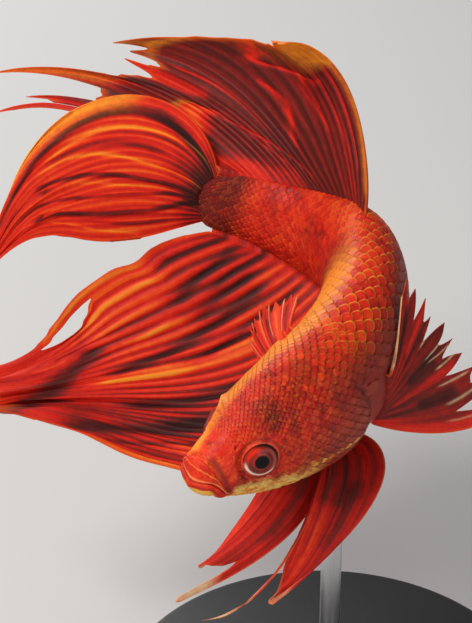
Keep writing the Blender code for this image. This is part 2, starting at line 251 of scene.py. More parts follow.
class Finish:
    def __init__(self, name, constants):
        self.material = bpy.data.materials.new(name)
        self.material.use_nodes = True
        self.tree = self.material.node_tree
        self.shader = self.tree.nodes["Principled BSDF"]
        for key, value in constants.items():
            self.shader.inputs[key].default_value = value

    def feed(self, socket, value):
        if isinstance(value, Link):
            self.tree.links.new(value.socket, socket)
        elif isinstance(value, tuple) and socket.type == 'RGBA':
            socket.default_value = (*value, 1.0)
        else:
            socket.default_value = value

    def node(self, kind, settings, values, out=0):
        made = self.tree.nodes.new("ShaderNode" + kind)
        for key, value in settings.items():
            if key == "stops":
                self.fillRamp(made.color_ramp, value)
            else:
                setattr(made, key, value)
        for key, value in values.items():
            self.feed(made.inputs[key], value)
        return Link(self, made.outputs[out])

    def fillRamp(self, ramp, stops):
        while len(ramp.elements) < len(stops):
            ramp.elements.new(0.5)
        for element, (place, colour) in zip(ramp.elements, stops):
            element.position = place
            element.color = (*colour, 1.0)

    def math(self, operation, *values):
        return self.node("Math", {"operation": operation}, dict(enumerate(values)))

    def mix(self, factor, first, second):
        return self.node("Mix", {"data_type": 'RGBA'}, {0: factor, 6: first, 7: second}, 2)

    def attribute(self, name):
        return self.node("Attribute", {"attribute_name": name}, {}, "Fac")

    def place(self):
        return self.node("TexCoord", {}, {}, "Object")

    def noise(self, scale, detail, vector=None):
        return self.node("TexNoise", {}, {"Vector": vector or self.place(), "Scale": scale,
                                          "Detail": detail, "Roughness": 0.6})

    def stretched(self, *attributes):
        return self.node("CombineXYZ", {}, dict(enumerate(attributes)))

    def relief(self, height, depth, strength):
        return self.node("Bump", {}, {"Height": height, "Distance": depth, "Strength": strength})

    def ramp(self, value, *stops):
        stops = [(place, palette[name]) for place, name in stops]
        self.colour = self.node("ValToRGB", {"stops": stops}, {0: value})

    def lay(self, factor, colour):
        # covers the colour so far with another, given by its palette name or as a link
        self.colour = self.mix(factor, self.colour, palette.get(colour, colour))

    def wear(self, colour, **sockets):
        self.feed(self.shader.inputs["Base Color"], colour)
        for key, value in sockets.items():
            self.feed(self.shader.inputs[key.capitalize()], value)
        return self.material


def addObject(name, data):
    made = bpy.data.objects.new(name, data)
    bpy.context.collection.objects.link(made)
    return made


def showMesh(name, mesh, material):
    mesh.name = name
    mesh.shade_smooth()
    mesh.materials.append(material)
    return addObject(name, mesh)


def meshOf(bm, name):
    mesh = bpy.data.meshes.new(name)
    bm.to_mesh(mesh)
    bm.free()
    return mesh


def turnOut(bm, mesh):
    # turns all faces outward and puts the bmesh back into its mesh
    bmesh.ops.recalc_face_normals(bm, faces=bm.faces)
    bm.to_mesh(mesh)
    bm.free()


def store(mesh, name, values):
    layer = mesh.attributes.get(name) or mesh.attributes.new(name, 'FLOAT', 'POINT')
    layer.data.foreach_set("value", np.asarray(values, np.float32).ravel())


def read(mesh, name):
    values = np.zeros(len(mesh.vertices), np.float32)
    mesh.attributes[name].data.foreach_get("value", values)
    return values.astype(float)


def setPoints(mesh, points):
    mesh.vertices.foreach_set("co", (points * mm).astype(np.float32).ravel())
    mesh.update()


def gridMesh(columns, rows, thick, slits=()):
    # a flat sheet, or one with two faces, that remembers its place as across and out
    bm = bmesh.new()
    bmesh.ops.create_grid(bm, x_segments=columns, y_segments=rows, size=1.0)
    across = bm.verts.layers.float.new("across")
    out = bm.verts.layers.float.new("out")
    face = bm.verts.layers.float.new("face")
    for vert in bm.verts:
        vert[across] = (vert.co.x + 1) / 2
        vert[out] = (vert.co.y + 1) / 2
    for where, start, end in slits:
        place = 2 * (round(where * columns) + 0.5) / columns - 1
        gone = [quad for quad in bm.faces
                if abs(quad.calc_center_median().x - place) < 0.5 / columns
                and start < (quad.calc_center_median().y + 1) / 2 < end]
        bmesh.ops.delete(bm, geom=gone, context='FACES')
    if thick:
        bmesh.ops.solidify(bm, geom=bm.faces, thickness=sheetGap)
        heights = [vert.co.z for vert in bm.verts]
        middle = (min(heights) + max(heights)) / 2
        for vert in bm.verts:
            vert[face] = 1.0 if vert.co.z > middle else -1.0
    return bm


# eyes: flattened balls set in the sides of the head
eyeShape = {
    "station": 5.1, "angle": 24.0,
    "nudge": (0.3, 3),                 # mm along and degrees round, to find the skin's normal
    "radius": 1.74, "bulge": 0.98, "back": 1.2, "pupil": 0.36, "segments": (80, 56),
    "lean": (0.0, 0.04, -0.1),         # left, up and tailward lean off the skin's own normal
    "sunk": {1: 0.6, -1: 0.88},        # left eye and right eye
    "brow": {1: 0.25, -1: 0.6},
    "browReach": 0.45,
    "window": 1.58, "well": 0.3, "snap": 0.09, "blendStart": 2.5, "blendEnd": 1.75,
    "rimGap": 0.08, "rimHeight": 0.1, "socket": 1.8,
    "rimRoll": 0.05, "rimCrest": (0.1, 0.12), "rimGroove": (0.4, 0.13),    # place and half width
}


def eyeFrame(side):
    shape = eyeShape
    angle = shape["angle"] if side > 0 else 180 - shape["angle"]
    aside, turned = shape["nudge"]
    spots = [skinPoints(shape["station"] + ds, angle + da) for ds, da in
             ((0, 0), (aside, 0), (-aside, 0), (0, turned), (0, -turned))]
    normal = np.cross(spots[1] - spots[2], spots[3] - spots[4])
    middle, tail, up, left = frameAt(shape["station"])
    normal = normal * np.sign(normal @ (spots[0] - middle))
    lefts, ups, tails = shape["lean"]
    axis = unit(unit(normal) + side * lefts * left + ups * up + tails * tail)
    return spots[0] - shape["sunk"][side] * axis, axis


def eyeDome(away):
    # height of the eyeball's front over its middle at a distance from its axis
    shape = eyeShape
    return shape["bulge"] * np.sqrt(np.clip(1 - (away / shape["radius"]) ** 2, 0, 1))


def eyeFinish():
    finish = Finish("eyeball", {"Roughness": 0.3, "Specular IOR Level": 0.1,
                                "Coat Weight": 0.14, "Coat Roughness": 0.02})
    ring = finish.attribute("ring")
    low, front = finish.attribute("low"), finish.attribute("front")
    grain = finish.noise(1500.0, 4.0)
    finish.ramp(grain * 0.5 + 0.22 + front * 0.1, (0.3, "maroon"), (0.5, "wine"), (0.7, "red"))
    blush = (front * 0.75 - low * 0.75).step(0.45, 0.95) * ring.near(0.68, 0.22)
    finish.lay(blush, "brightRed")
    finish.lay((0 - front).step(0.1, 0.8) * ring.near(0.68, 0.16) * 0.75, "irisRose")
    finish.lay((front + low * 0.3).step(0.3, 0.9) * ring.near(0.55, 0.16) * 0.8, "irisDusk")
    finish.lay((0 - low * 0.7 - front * 0.6).step(0.2, 0.75) * ring.step(0.7, 0.82), "umber")
    pale = (low + front * 0.25).step(0.15, 0.7) * ring.near(0.79, 0.12) * (0.7 + grain * 0.8)
    finish.lay(pale, "irisPale")
    finish.lay(ring.near(0.42, 0.045) * 0.5, "irisRing")
    finish.lay(ring.step(0.9, 0.96), "maroon")
    pupil = eyeShape["pupil"]
    finish.lay(1 - ring.step(pupil - 0.03, pupil + 0.03), "pupilBlack")
    return finish.wear(finish.colour)


def makeEye(side, word):
    shape = eyeShape
    centre, axis = eyeFrame(side)
    bm = bmesh.new()
    around, down = shape["segments"]
    bmesh.ops.create_uvsphere(bm, u_segments=around, v_segments=down, radius=1.0)
    ringLayer, lowLayer, frontLayer = [bm.verts.layers.float.new(name)
                                       for name in ("ring", "low", "front")]
    _, tail, up, _ = frameAt(shape["station"])
    turn = Vector((0, 0, 1)).rotation_difference(Vector(axis))
    for vert in bm.verts:
        flat = turn @ Vector((vert.co.x, vert.co.y, 0))
        ring = math.hypot(vert.co.x, vert.co.y)
        depth = shape["bulge"] if vert.co.z > 0 else shape["back"]
        vert[ringLayer] = ring if vert.co.z > -0.01 else 2 - ring
        vert[lowLayer] = -flat.dot(Vector(up)) / max(ring, 0.001)
        vert[frontLayer] = -flat.dot(Vector(tail)) / max(ring, 0.001)
        away = flat * shape["radius"] + Vector(axis) * vert.co.z * depth
        vert.co = (Vector(centre) + away) * mm
    eye = showMesh("eyeball_" + word, meshOf(bm, "eye"), eyeMaterial)
    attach(eye, "root")
    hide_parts("eye_" + word)


eyeMaterial = eyeFinish()
for side, word in ((1, "left"), (-1, "right")):
    makeEye(side, word)
print("eyes made")

# skin of the head, trunk and tail stock in one piece
skinShape = {
    "sides": 236, "inset": 0.2, "headInset": 0.08,
    # rows: first and last station, and how many
    "rowParts": ((-0.3, 0.0, 6), (0.0, 4.0, 52), (4.0, 18.0, 130), (18.0, 56.6, 138)),
    "gillMiddle": -8.0, "gillSpan": 50.0, "gillFront": 10.4, "gillRear": 16.9,
    "gillRounding": 1.8, "gillStep": 0.34, "plateRounding": 1.3,
    "plateGrooves": ((0.0, 0.15, 0.28), (1.9, 0.08, 0.3)),     # place ahead, depth, half width
    "nostril": (3.5, 56.0), "nostrilSize": 3.3,
    "nostrilRim": (0.3, 0.12, 0.12), "nostrilPit": (0.28, 0.17),
    # ridges at the fin roots: angle, stations where they start, stand full and start to fade
    "ridges": ((90, 32.5, 35, 54), (-90, 24, 27, 53)),
    "ridgeHeight": 0.42, "ridgeWidth": 13, "ridgeEnd": 56,
    # muscle at the roots of the pectoral fins: angles, station, spread in degrees
    "muscles": (-2.0, 182.0), "muscleStation": 19.0, "muscleSpread": 28.0, "muscleLift": 0.32,
    "tailEnd": (51, 56.6), "tailRound": 2.0,
}
# the mouth's line as heights along the head, and the fold behind the upper lip as
# stations round it
mouthShape = {
    "line": ((-0.3, 0.6), (0.1, 0.6), (0.4, 0.72), (0.7, 0.74), (1.05, 0.5), (1.5, -0.02),
             (2.2, -0.95), (3.05, -1.85), (3.8, -2.5)),
    "fold": ((-90, 3.9), (-30, 2.75), (-2, 1.9), (27, 1.35), (55, 1.2), (90, 1.2)),
    "corner": 3.0, "upperLip": 0.2, "lowerLip": 0.14, "lowerWidth": 0.8,
    "wrinkle": 0.03, "wrinkles": 2.5,
    "groove": (0.17, 0.08), "chinGroove": (0.14, 0.12),        # depth and half width
    # ripples behind the upper lip: height, place and half width
    "ripples": ((-0.11, 0.02, 0.15), (-0.04, 0.62, 0.16), (0.03, 0.34, 0.14)),
}


def onLeft(angles):
    # the same place on the left side, between -90 and 90 degrees
    turned = np.where(np.cos(np.radians(angles)) > 0, angles, 180 - angles)
    return (turned + 180) % 360 - 180


def mouthPlaces(stations, angles):
    # distance over the mouth's line, and tailward of the upper lip's fold
    keys, heights = zip(*mouthShape["line"])
    at = np.clip(stations, keys[0], keys[-1])
    line = through(keys, heights, at)
    slope = (through(keys, heights, at + 0.05) - through(keys, heights, at - 0.05)) / 0.1
    _, height, _ = rimAt(stations, angles)
    keys, places = zip(*mouthShape["fold"])
    return (height - line) / np.sqrt(1 + slope ** 2), stations - through(keys, places, onLeft(angles))


def mouthRelief(stations, angles):
    shape = mouthShape
    over, behind = mouthPlaces(stations, angles)
    ahead = smooth(shape["corner"] + 0.5, shape["corner"] - 0.3, stations)
    share = np.clip(over / (np.maximum(over, 0) + np.maximum(-behind, 0) + 0.001), 0, 1)
    inUpper = (over > 0) * (behind < 0) * ahead
    lift = inUpper * shape["upperLip"] * (1 - (2 * share - 1) ** 4)
    lift = lift + inUpper * shape["wrinkle"] * np.cos(share * 2 * math.pi * shape["wrinkles"])
    share = np.clip(-over / shape["lowerWidth"], 0, 1)
    lift = lift + shape["lowerLip"] * (1 - (2 * share - 1) ** 4) * ahead
    for (depth, width), place in ((shape["groove"], 0), (shape["chinGroove"], -shape["lowerWidth"])):
        lift = lift - depth * bump(over, place, width) * ahead
    above = smooth(-0.5, 0.1, over)
    for height, place, width in shape["ripples"]:
        lift = lift + height * bump(behind, place, width) * above
    return lift * smooth(-0.3, 0.15, stations)


def gillEdge(angles):
    # how far round the cover, 1 at its ends, and the station of its rear edge
    shape = skinShape
    bend = (onLeft(angles) - shape["gillMiddle"]) / shape["gillSpan"]
    return bend, shape["gillRear"] - shape["gillRounding"] * bend ** 2


def skinInset(stations):
    # room for the coat, thinner on the head
    shape = skinShape
    return shape["headInset"] + (shape["inset"] - shape["headInset"]) * smooth(8, 18, stations)


def bodyRelief(stations, angles):
    # everything that stands proud of the plain body or sinks into it, but for the eyes
    shape = skinShape
    lift = mouthRelief(stations, angles)
    bend, rear = gillEdge(angles)
    inGill = smooth(1.1, 0.86, np.abs(bend))
    flap = smooth(rear - 4.0, rear - 0.3, stations) * smooth(rear + 0.1, rear - 0.1, stations)
    slit = bump(stations, rear + 0.28, 0.26)
    lift = lift + shape["gillStep"] * inGill * (0.6 * flap - 0.7 * slit)
    front = shape["gillFront"] + shape["plateRounding"] * bend ** 2
    for ahead, depth, width in shape["plateGrooves"]:
        lift = lift - depth * inGill * bump(stations, front - ahead, width)
    station, angle = shape["nostril"]
    place, height, width = shape["nostrilRim"]
    depth, pitWidth = shape["nostrilPit"]
    for turned in (angle, 180 - angle):
        away = np.hypot(stations - station, np.radians(angles - turned) * shape["nostrilSize"])
        lift = lift + height * bump(away, place, width) - depth * bump(away, 0.0, pitWidth)
    for middle, start, full, fade in shape["ridges"]:
        crest = shape["ridgeHeight"] * bump((angles - middle + 180) % 360 - 180, 0, shape["ridgeWidth"])
        lift = lift + crest * smooth(start, full, stations) * smooth(shape["ridgeEnd"], fade, stations)
    for turned in shape["muscles"]:
        away = np.hypot(stations - shape["muscleStation"], (angles - turned) / shape["muscleSpread"])
        lift = lift + shape["muscleLift"] * bump(away, 0, 0.9)
    return lift


def tailRounding(stations, angles):
    # draws the back and belly of the tail stock's end forward, so it ends in a round edge
    start, end = skinShape["tailEnd"]
    return skinShape["tailRound"] * np.sin(np.radians(angles)) ** 2 * smooth(start, end, stations)


def openSockets(points):
    # sinks the skin behind each eyeball's window and wraps a soft rim round it
    shape = eyeShape
    window = shape["window"]
    rim = window + shape["rimGap"]
    (crest, crestWidth), (groove, grooveWidth) = shape["rimCrest"], shape["rimGroove"]
    for side in (1, -1):
        centre, axis = eyeFrame(side)
        up = frameAt(shape["station"])[2]
        offset = points - centre
        height = offset @ axis
        flat = offset - height[:, None] * axis
        away = np.linalg.norm(flat, axis=1)
        near = (away < shape["radius"] * shape["socket"]) & (height > -1.5)
        way = flat[near] / (away[near, None] + 0.0001)
        reach = away[near]
        snapped = np.where(np.abs(reach - window) < shape["snap"], window, reach)
        low, high = eyeDome(snapped) - shape["well"], height[near]
        hug = eyeDome(np.maximum(snapped, window)) + shape["rimHeight"]
        blend = smooth(shape["blendStart"], shape["blendEnd"], snapped)
        outer = high * (1 - blend) + hug * blend
        roll = bump(snapped, rim + crest, crestWidth) - bump(snapped, rim + groove, grooveWidth)
        outer = outer + shape["rimRoll"] * roll
        brow = shape["brow"][side] * bump(snapped, rim + groove, shape["browReach"])
        outer = outer + brow * smooth(0.0, 0.9, way @ up)
        wanted = np.where(snapped < window - 0.01, low, outer)
        points[near] = centre + way * snapped[:, None] + wanted[:, None] * axis
    return points


def bodyColour(finish):
    # the markings, painted shade and painted rim light that the skin and the scales share
    along, back, left = [finish.attribute(name) for name in ("along", "back", "left")]
    cloud = finish.noise(190.0, 4.0)
    grain = finish.noise(1300.0, 3.0)
    hatch = finish.noise(1.0, 3.0, finish.stretched(along * 1.1, back * 16, left * 16))
    mottle = finish.noise(1.0, 4.0, finish.stretched(along * 0.9, back * 1.8, left * 1.8))
    mixed = cloud * 0.45 + grain * 0.25 + hatch * 0.3 + back * 0.04
    finish.ramp((mixed - 0.52) * 1.5 + 0.52,
                (0.34, "wine"), (0.46, "red"), (0.6, "brightRed"), (0.8, "orange"))
    head = 1 - along.step(11, 17)
    finish.lay(head * mottle.step(0.5, 0.6) * 0.5, "maroon")
    finish.lay(head * (1 - mottle.step(0.36, 0.46)) * 0.4, "coral")
    # painted shade: the sides of the trunk darker and rosier than its back and belly
    flankShade = along.step(9, 17) * (1 - along.step(27, 35)) * (left * left).step(0.02, 0.5)
    finish.lay(flankShade * (0.5 + hatch * 0.7), "maroon")
    finish.lay(flankShade * 0.4, "rose")
    streak = (cloud * 0.4 + grain * 0.3 + hatch * 0.3).step(0.4, 0.56)
    brow = along.near(6.7, 2.6) * back.step(0.68, 0.82) * left.step(-0.05, 0.2) * (0.35 + streak)
    finish.lay(brow * 0.85, "maroon")
    cheek = along.near(12.0, 5.5) * back.near(0.05, 0.45) * left.step(0.2, 0.5) * streak
    finish.lay(cheek * 0.5, "maroon")
    saddle = along.near(4.2, 3.2) * back.step(0.55, 0.85) * (0.4 + grain)
    finish.lay(saddle * 0.6, "scarlet")
    chinTop = (along - 4.0) * 0.014 + 0.08 + (mottle - 0.5) * 0.7
    chin = (1 - along.step(9.0, 13.0)) * along.step(2.9, 3.8) * (0 - back - chinTop).step(-0.1, 0.2)
    chin = chin * (1 - (0 - back).step(0.8, 1.0) * 0.6)
    freckled = finish.mix(grain.step(0.4, 0.5), palette["freckle"], palette["chinYellow"])
    finish.lay(chin * 0.95, freckled)
    # painted rim light: a thin gold line along the throat and the edge of the belly
    bellyRimLight = (back + 0.17 + (along - 13.5) * 0.022 + (mottle - 0.5) * 0.2).near(0, 0.06)
    bellyRimLight = bellyRimLight * along.step(8, 10) * (1 - along.step(18, 19))
    finish.lay(bellyRimLight * (0.3 + grain.step(0.4, 0.55) * 0.7), "gold")
    # painted rim light: an amber band along the right side of the head and back
    edge = (0 - left) - 0.62 + along * 0.003 + (cloud - 0.5) * 0.5
    farRimLight = edge.step(-0.28, 0.0) * back.step(0.0, 0.45) * along.step(1.2, 1.9)
    farRimLight = farRimLight * (1 - along.step(25, 32)) * (1 - (edge - 0.1).step(0.2, 0.5) * 0.7)
    finish.lay(farRimLight * (0.75 + grain * 0.4), "amber")
    finish.lay(head * finish.noise(3200.0, 2.0).step(0.56, 0.66) * 0.3, "amber")
    # painted shade: patchy maroon on the tail stock where the tail fin leaves it
    root = along.step(49.5, 53.5) * (cloud * 0.6 + hatch * 0.4 + back * 0.05).step(0.36, 0.52)
    finish.lay(root * 0.9, "maroon")
    return along, back, left, grain


def skinFinish():
    finish = Finish("moistSkin", {"Coat Roughness": 0.25, "Coat Weight": 0.05,
                                  "Specular IOR Level": 0.16,
                                  "Subsurface Weight": 0.06, "Subsurface Scale": 0.001})
    along, _, left, grain = bodyColour(finish)
    over, behind, slit, rim = [finish.attribute(name) for name in ("over", "behind", "slit", "rim")]
    lips = (1 - behind.step(-0.1, 0.1)) * (1 - along.step(2.9, 3.3))
    finish.lay(lips * 0.7, finish.mix(grain.step(0.35, 0.6), palette["red"], palette["brightRed"]))
    curl = (over * 0.5 + grain * 0.35 + behind * 0.3).near(0.32, 0.05)
    finish.lay(lips * curl * 0.6, "amber")
    finish.lay(lips * over.near(-0.45, 0.16) * 0.6, "wine")
    finish.lay(lips * (0 - over).step(0.62, 0.85) * 0.9, "gold")
    fold = behind.near(0.35, 0.5) * over.step(-0.3, 0.3)
    fold = fold * (1 - along.step(4.0, 4.6)) * left.step(0, 0.4)
    finish.lay(fold * (0.4 + grain * 0.5), "maroon")
    finish.lay(behind.near(-0.06, 0.09) * over.step(0.1, 0.4) * 0.5, "orange")
    mouth = 1 - along.step(3.0, 3.3)
    finish.lay(over.near(-0.02, 0.08) * mouth * 0.85, "maroon")
    finish.lay(over.near(0.12, 0.08) * mouth * (0.5 + grain * 0.8), "lipLine")
    # painted shade in the gill slit behind the cover
    finish.lay(slit.step(0.25, 0.9) * 0.75, "maroon")
    finish.lay(rim.near(1.64, 0.08) * 0.55, "eyelid")
    finish.lay(rim.near(1.9, 0.2) * (0.2 + grain * 0.5), "maroon")
    pebble = finish.node("TexVoronoi", {}, {"Vector": finish.place(), "Scale": 2600.0})
    normal = finish.relief(pebble * 0.6 + grain, 0.00006, 0.7)
    return finish.wear(finish.colour, roughness=0.44 + grain * 0.2, normal=normal)


def makeSkin():
    shape = skinShape
    parts = [np.linspace(low, high, count, endpoint=False) for low, high, count in shape["rowParts"]]
    rows = np.concatenate(parts + [[shape["rowParts"][-1][1]]])
    mesh = meshOf(gridMesh(shape["sides"], len(rows) - 1, False), "skin")
    angles = read(mesh, "across") * 360 - 90
    places = np.rint(read(mesh, "out") * (len(rows) - 1)).astype(int)
    stations = rows[places]
    lift = bodyRelief(stations, angles) - skinInset(stations)
    points = skinPoints(stations - tailRounding(stations, angles), angles, lift)
    setPoints(mesh, openSockets(points))
    for name, values in zip(("over", "behind"), mouthPlaces(stations, angles)):
        store(mesh, name, np.where(stations < 4.5, values, farAway))
    bend, rear = gillEdge(angles)
    # where the gill slit lies, for its painted shade
    store(mesh, "slit", bump(stations, rear + 0.3, 0.3) * smooth(1.05, 0.7, np.abs(bend)))
    store(mesh, "rim", eyeReach(points))
    storeMarks(mesh, stations, angles)
    bm = bmesh.new()
    bm.from_mesh(mesh)
    bmesh.ops.remove_doubles(bm, verts=bm.verts, dist=0.000001)
    bmesh.ops.holes_fill(bm, edges=[edge for edge in bm.edges if edge.is_boundary], sides=0)
    turnOut(bm, mesh)
    skin = showMesh("skin", mesh, skinFinish())
    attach(skin, "root")
    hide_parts("head", "jaw_lower", "gill_cover_left", "gill_cover_right",
                "trunk_front", "trunk_rear", "tail_stock")


def eyeReach(points):
    # how far each point is from the nearer eye's axis
    nearest = np.full(points.shape[:-1], farAway)
    for side in (1, -1):
        centre, axis = eyeFrame(side)
        offset = points - centre
        height = offset @ axis
        away = np.linalg.norm(offset - height[..., None] * axis, axis=-1)
        nearest = np.minimum(nearest, np.where(height > -1.0, away, farAway))
    return nearest


def storeMarks(mesh, stations, angles):
    store(mesh, "along", stations)
    store(mesh, "back", np.sin(np.radians(angles)))
    store(mesh, "left", np.cos(np.radians(angles)))


makeSkin()
print("skin made")

# scales in staggered rows, each with its root under the row ahead of it
scaleShape = {
    # name, first and last station, scales round the body, faces across and along each one
    "zones": (("scales_face", 2.2, 9.6, 56, 4, 3), ("scales_head", 9.2, 17.2, 44, 5, 4),
              ("scales_trunk", 15.6, 44.4, 30, 6, 5), ("scales_tail", 43.9, 56.0, 22, 6, 4)),
    "seed": 7,
    # shares of a scale's width
    "rowShare": 0.54, "lengthShare": 1.35, "widthShare": 1.12, "jitter": 0.14,
    "neck": 0.65, "neckEnd": 0.45, "rootOut": 0.35,
    "thickness": 0.045, "rootLift": -0.06, "edgeLift": 0.14, "faceLift": 0.035,
    "curve": 0.04, "unevenness": 0.03, "roundness": 0.92, "tipThinning": 0.6,
    # laid flatter towards the lips and the tail's root: by how much, from where, to where
    "flatter": ((0.06, 4.2, 2.2), (0.08, 53, 57)),
    "clearOfEye": 1.9, "clearOfLips": 0.8, "clearOfGill": 0.72,
    # bare oval on the muscle of each pectoral fin: station, half length, half height in degrees
    "bareOval": (18.9, 1.9, 30.0), "bakePatch": 0.003, "bakeLength": 60,
}


def scaleFinish():
    finish = Finish("scaleCoat", {"Coat Roughness": 0.22, "Coat Weight": 0.07,
                                  "Specular IOR Level": 0.14})
    along, back, left, grain = bodyColour(finish)
    out, across, tint = [finish.attribute(name) for name in ("out", "across", "tint")]
    finish.lay((1 - out.step(0.3, 0.85)) * 0.4, "wine")
    finish.lay(tint.step(0.6, 1.0) * 0.16, "orange")
    finish.lay((1 - tint.step(0.0, 0.35)) * 0.22, "wine")
    rimmed = (1 - (left * left).step(0.1, 0.5)) * back.step(0.0, 0.4)
    rimmed = rimmed * along.step(10, 20) * (1 - along.step(34, 42))
    edge = (out + tint * 0.05).step(0.88, 0.985) * (grain + tint * 0.4).step(0.45, 0.7)
    finish.lay(edge * (rimmed * 0.85 + 0.08), "amber")
    rays = finish.noise(9.0, 2.0, finish.stretched(across * 2.2, out * 0.4, tint * 9))
    normal = finish.relief(rays, 0.00004, 0.5)
    return finish.wear(finish.colour, roughness=0.4 + grain * 0.2, normal=normal)


def scalePlaces(zone):
    shape = scaleShape
    name, station, last, around = zone[:4]
    row = 0
    random = np.random.default_rng(shape["seed"] + around)
    middle, halfLength, halfHeight = shape["bareOval"]
    while station < last:
        width = perimeterAt(station) / around
        shares = (np.arange(around) + 0.5 * (row % 2)) / around
        level = np.full(around, station)
        angles = angleOf(level, shares)
        _, behind = mouthPlaces(level, angles)
        bend, rear = gillEdge(angles)
        keep = eyeReach(skinPoints(level, angles)) > shape["clearOfEye"] + width * 0.6
        keep &= behind > shape["clearOfLips"]
        if name == "scales_head":
            keep &= (station + width * 0.75 < rear - 0.02) | (np.abs(bend) > 0.98)
        if name == "scales_trunk":
            offGill = (np.abs(bend) > 0.98) & (station > skinShape["gillRear"])
            keep &= (station > rear + shape["clearOfGill"]) | offGill
        for turned in skinShape["muscles"]:
            offset = (angles - turned + 180) % 360 - 180
            keep &= np.hypot((station - middle) / halfLength, offset / halfHeight) > 1
        tints = random.random(around)
        for share, tint in zip(shares[keep], tints[keep]):
            yield station, share, width, tint
        station += width * shape["rowShare"]
        row += 1


def makeScales(zone, material):
    shape = scaleShape
    name, _, _, count, columns, rows = zone
    template = meshOf(gridMesh(columns, rows, True), "scale")
    places = np.array(list(scalePlaces(zone)))
    bm = bmesh.new()
    for _ in places:
        bm.from_mesh(template)
    mesh = meshOf(bm, name)
    size = len(template.vertices)
    bpy.data.meshes.remove(template)
    station, share, width, tint = [np.repeat(places[:, k], size) for k in range(4)]
    station = station + (tint * 7 % 1 - 0.5) * shape["jitter"] * width
    across = read(mesh, "across") - 0.5
    out, face = read(mesh, "out"), read(mesh, "face")
    swell = np.sqrt(np.clip(1 - (1 - np.minimum(out / shape["neckEnd"], 1)) ** 2, 0, 1))
    swell = swell * (1 - shape["neck"]) + shape["neck"]
    edge = np.sqrt(np.clip(1 - (2 * across) ** 2 * shape["roundness"], 0, 1))
    along = station + width * shape["lengthShare"] * (out * edge - shape["rootOut"])
    around = share + across * swell * shape["widthShare"] / count
    tip = shape["faceLift"] + (shape["edgeLift"] - shape["faceLift"]) * smooth(4, 18, station)
    for amount, start, end in shape["flatter"]:
        tip = tip - amount * smooth(start, end, station)
    lift = shape["rootLift"] + (tip - shape["rootLift"]) * out
    lift = lift - shape["curve"] * (2 * across) ** 2 + (tint - 0.5) * shape["unevenness"]
    lift = lift + face * shape["thickness"] / 2 * (1 - shape["tipThinning"] * out ** 4)
    angles = angleOf(along, around)
    lift = lift + bodyRelief(along, angles) - skinInset(along)
    along = along - tailRounding(along, angles)
    setPoints(mesh, openSockets(skinPoints(along, angles, lift)))
    storeMarks(mesh, station, angleOf(station, share))
    store(mesh, "tint", tint)
    patch = mesh.uv_layers.new(name="OFBake")
    corners = np.zeros(len(mesh.loops), int)
    mesh.loops.foreach_get("vertex_index", corners)
    u = share % 1 + across * shape["bakePatch"]
    v = station / shape["bakeLength"] + (out - 0.5) * shape["bakePatch"]
    patch.data.foreach_set("uv", np.stack([u, v], -1)[corners].astype(np.float32).ravel())
    coat = showMesh(name, mesh, material)
    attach(coat, "root")
    return len(places)


scaleMaterial = scaleFinish()
for zone in scaleShape["zones"]:
    print(zone[0], makeScales(zone, scaleMaterial))
print("scales made")

